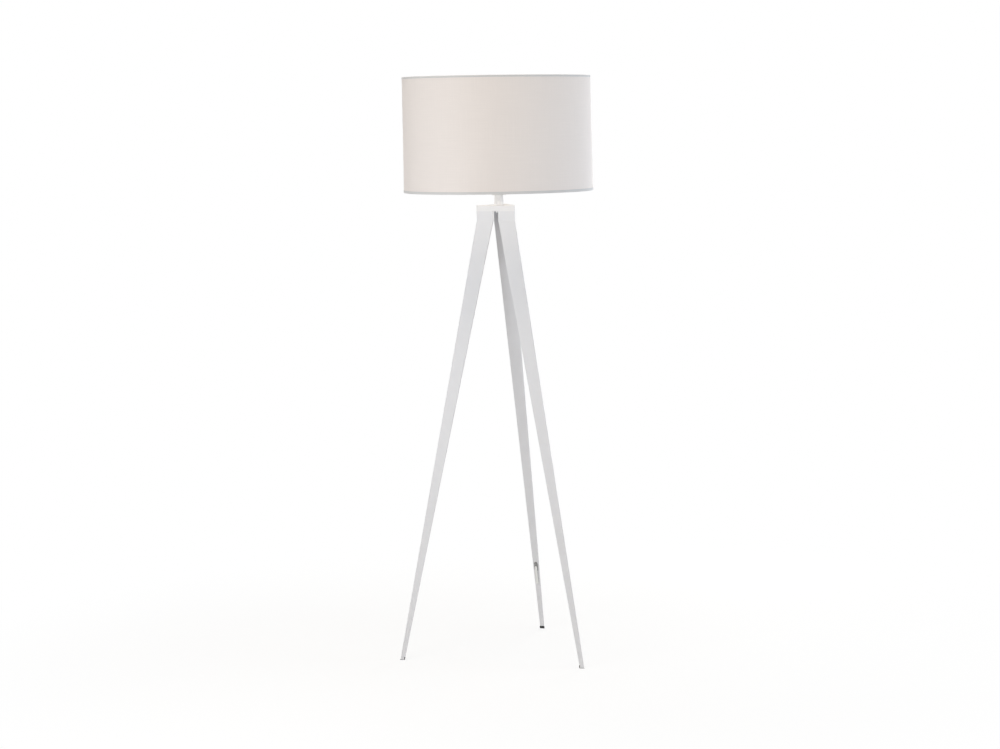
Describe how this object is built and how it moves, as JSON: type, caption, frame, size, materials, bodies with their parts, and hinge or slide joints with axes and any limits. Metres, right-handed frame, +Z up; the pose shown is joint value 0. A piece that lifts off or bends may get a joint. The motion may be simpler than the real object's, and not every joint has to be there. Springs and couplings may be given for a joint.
{
  "type": "floor lamp",
  "caption": "Tripod floor lamp: tapered triangular metal legs under a flat triangular hub, a short neck, and a fabric drum shade on a screw-base lampholder.",
  "frame": {"origin": "the tripod's axis at floor level, midway between the three feet", "axes": "+Z up along the neck and the shade's axis, +Y towards the rear leg, +X to the right of someone who looks along +Y"},
  "size_m": [0.5202, 0.5528, 1.56],
  "materials": {
    "white_paint": "satin",
    "zinc_steel": "satin",
    "black_rubber": "matte",
    "grey_rubber": "matte",
    "white_plastic": "satin",
    "white_wire": "satin",
    "brass": "satin",
    "black_plastic": "glossy",
    "cap_aluminium": "satin",
    "opal_globe": "satin",
    "lead_sheath": "satin",
    "shade_cloth": "matte",
    "shade_lining": "satin",
    "shade_tape": "matte"
  },
  "bodies": {
    "stand": {"leg_front_left": "white_paint", "leg_front_right": "white_paint", "leg_rear": "white_paint", "foot_front_left": "black_rubber", "foot_front_right": "black_rubber", "foot_rear": "black_rubber", "end_plate_front_left": "zinc_steel", "end_plate_front_right": "zinc_steel", "end_plate_rear": "zinc_steel", "leg_screws": "zinc_steel", "screw_washers": "zinc_steel", "hub_plate": "zinc_steel", "hub_cap": "white_paint", "threaded_nipple": "zinc_steel", "hub_nut": "zinc_steel", "holder_nut": "zinc_steel", "hub_washer": "zinc_steel", "hub_spacer": "zinc_steel", "neck_sleeve": "white_paint", "lampholder_base": "white_plastic", "lampholder_skirt": "white_plastic", "lampholder_insulator": "black_plastic", "screw_shell": "brass", "centre_contact": "brass", "wire_terminals": "brass", "terminal_screws": "brass", "cord_sleeve": "white_plastic", "outlet_grommet": "grey_rubber", "supply_lead": "lead_sheath"},
    "shade": {"shade_fabric": "shade_cloth", "shade_liner": "shade_lining", "shade_top_trim": "shade_tape", "shade_bottom_trim": "shade_tape", "shade_top_ring": "white_wire", "shade_bottom_ring": "white_wire", "shade_fitter_ring": "white_wire", "shade_arm_1": "white_wire", "shade_arm_2": "white_wire", "shade_arm_3": "white_wire"},
    "retaining_ring": {"shade_retaining_ring": "white_plastic"},
    "bulb": {"bulb_contact_tip": "brass", "bulb_base_insulator": "black_plastic", "bulb_screw_cap": "cap_aluminium", "bulb_housing": "white_plastic", "bulb_globe": "opal_globe"}
  },
  "joints": [
    {"name": "shade_turn", "type": "hinge", "parent": "stand", "child": "shade", "pos_m": [0, 0, 1.281], "axis": [0, 0, 1], "continuous": true},
    {"name": "retaining_ring_screw", "type": "hinge", "parent": "stand", "child": "retaining_ring", "pos_m": [0, 0, 1.286], "axis": [0, 0, 1], "range_deg": [0, 1440]},
    {"name": "bulb_screw", "type": "hinge", "parent": "stand", "child": "bulb", "pos_m": [0, 0, 1.2937], "axis": [0, 0, 1], "range_deg": [0, 1080]}
  ]
}
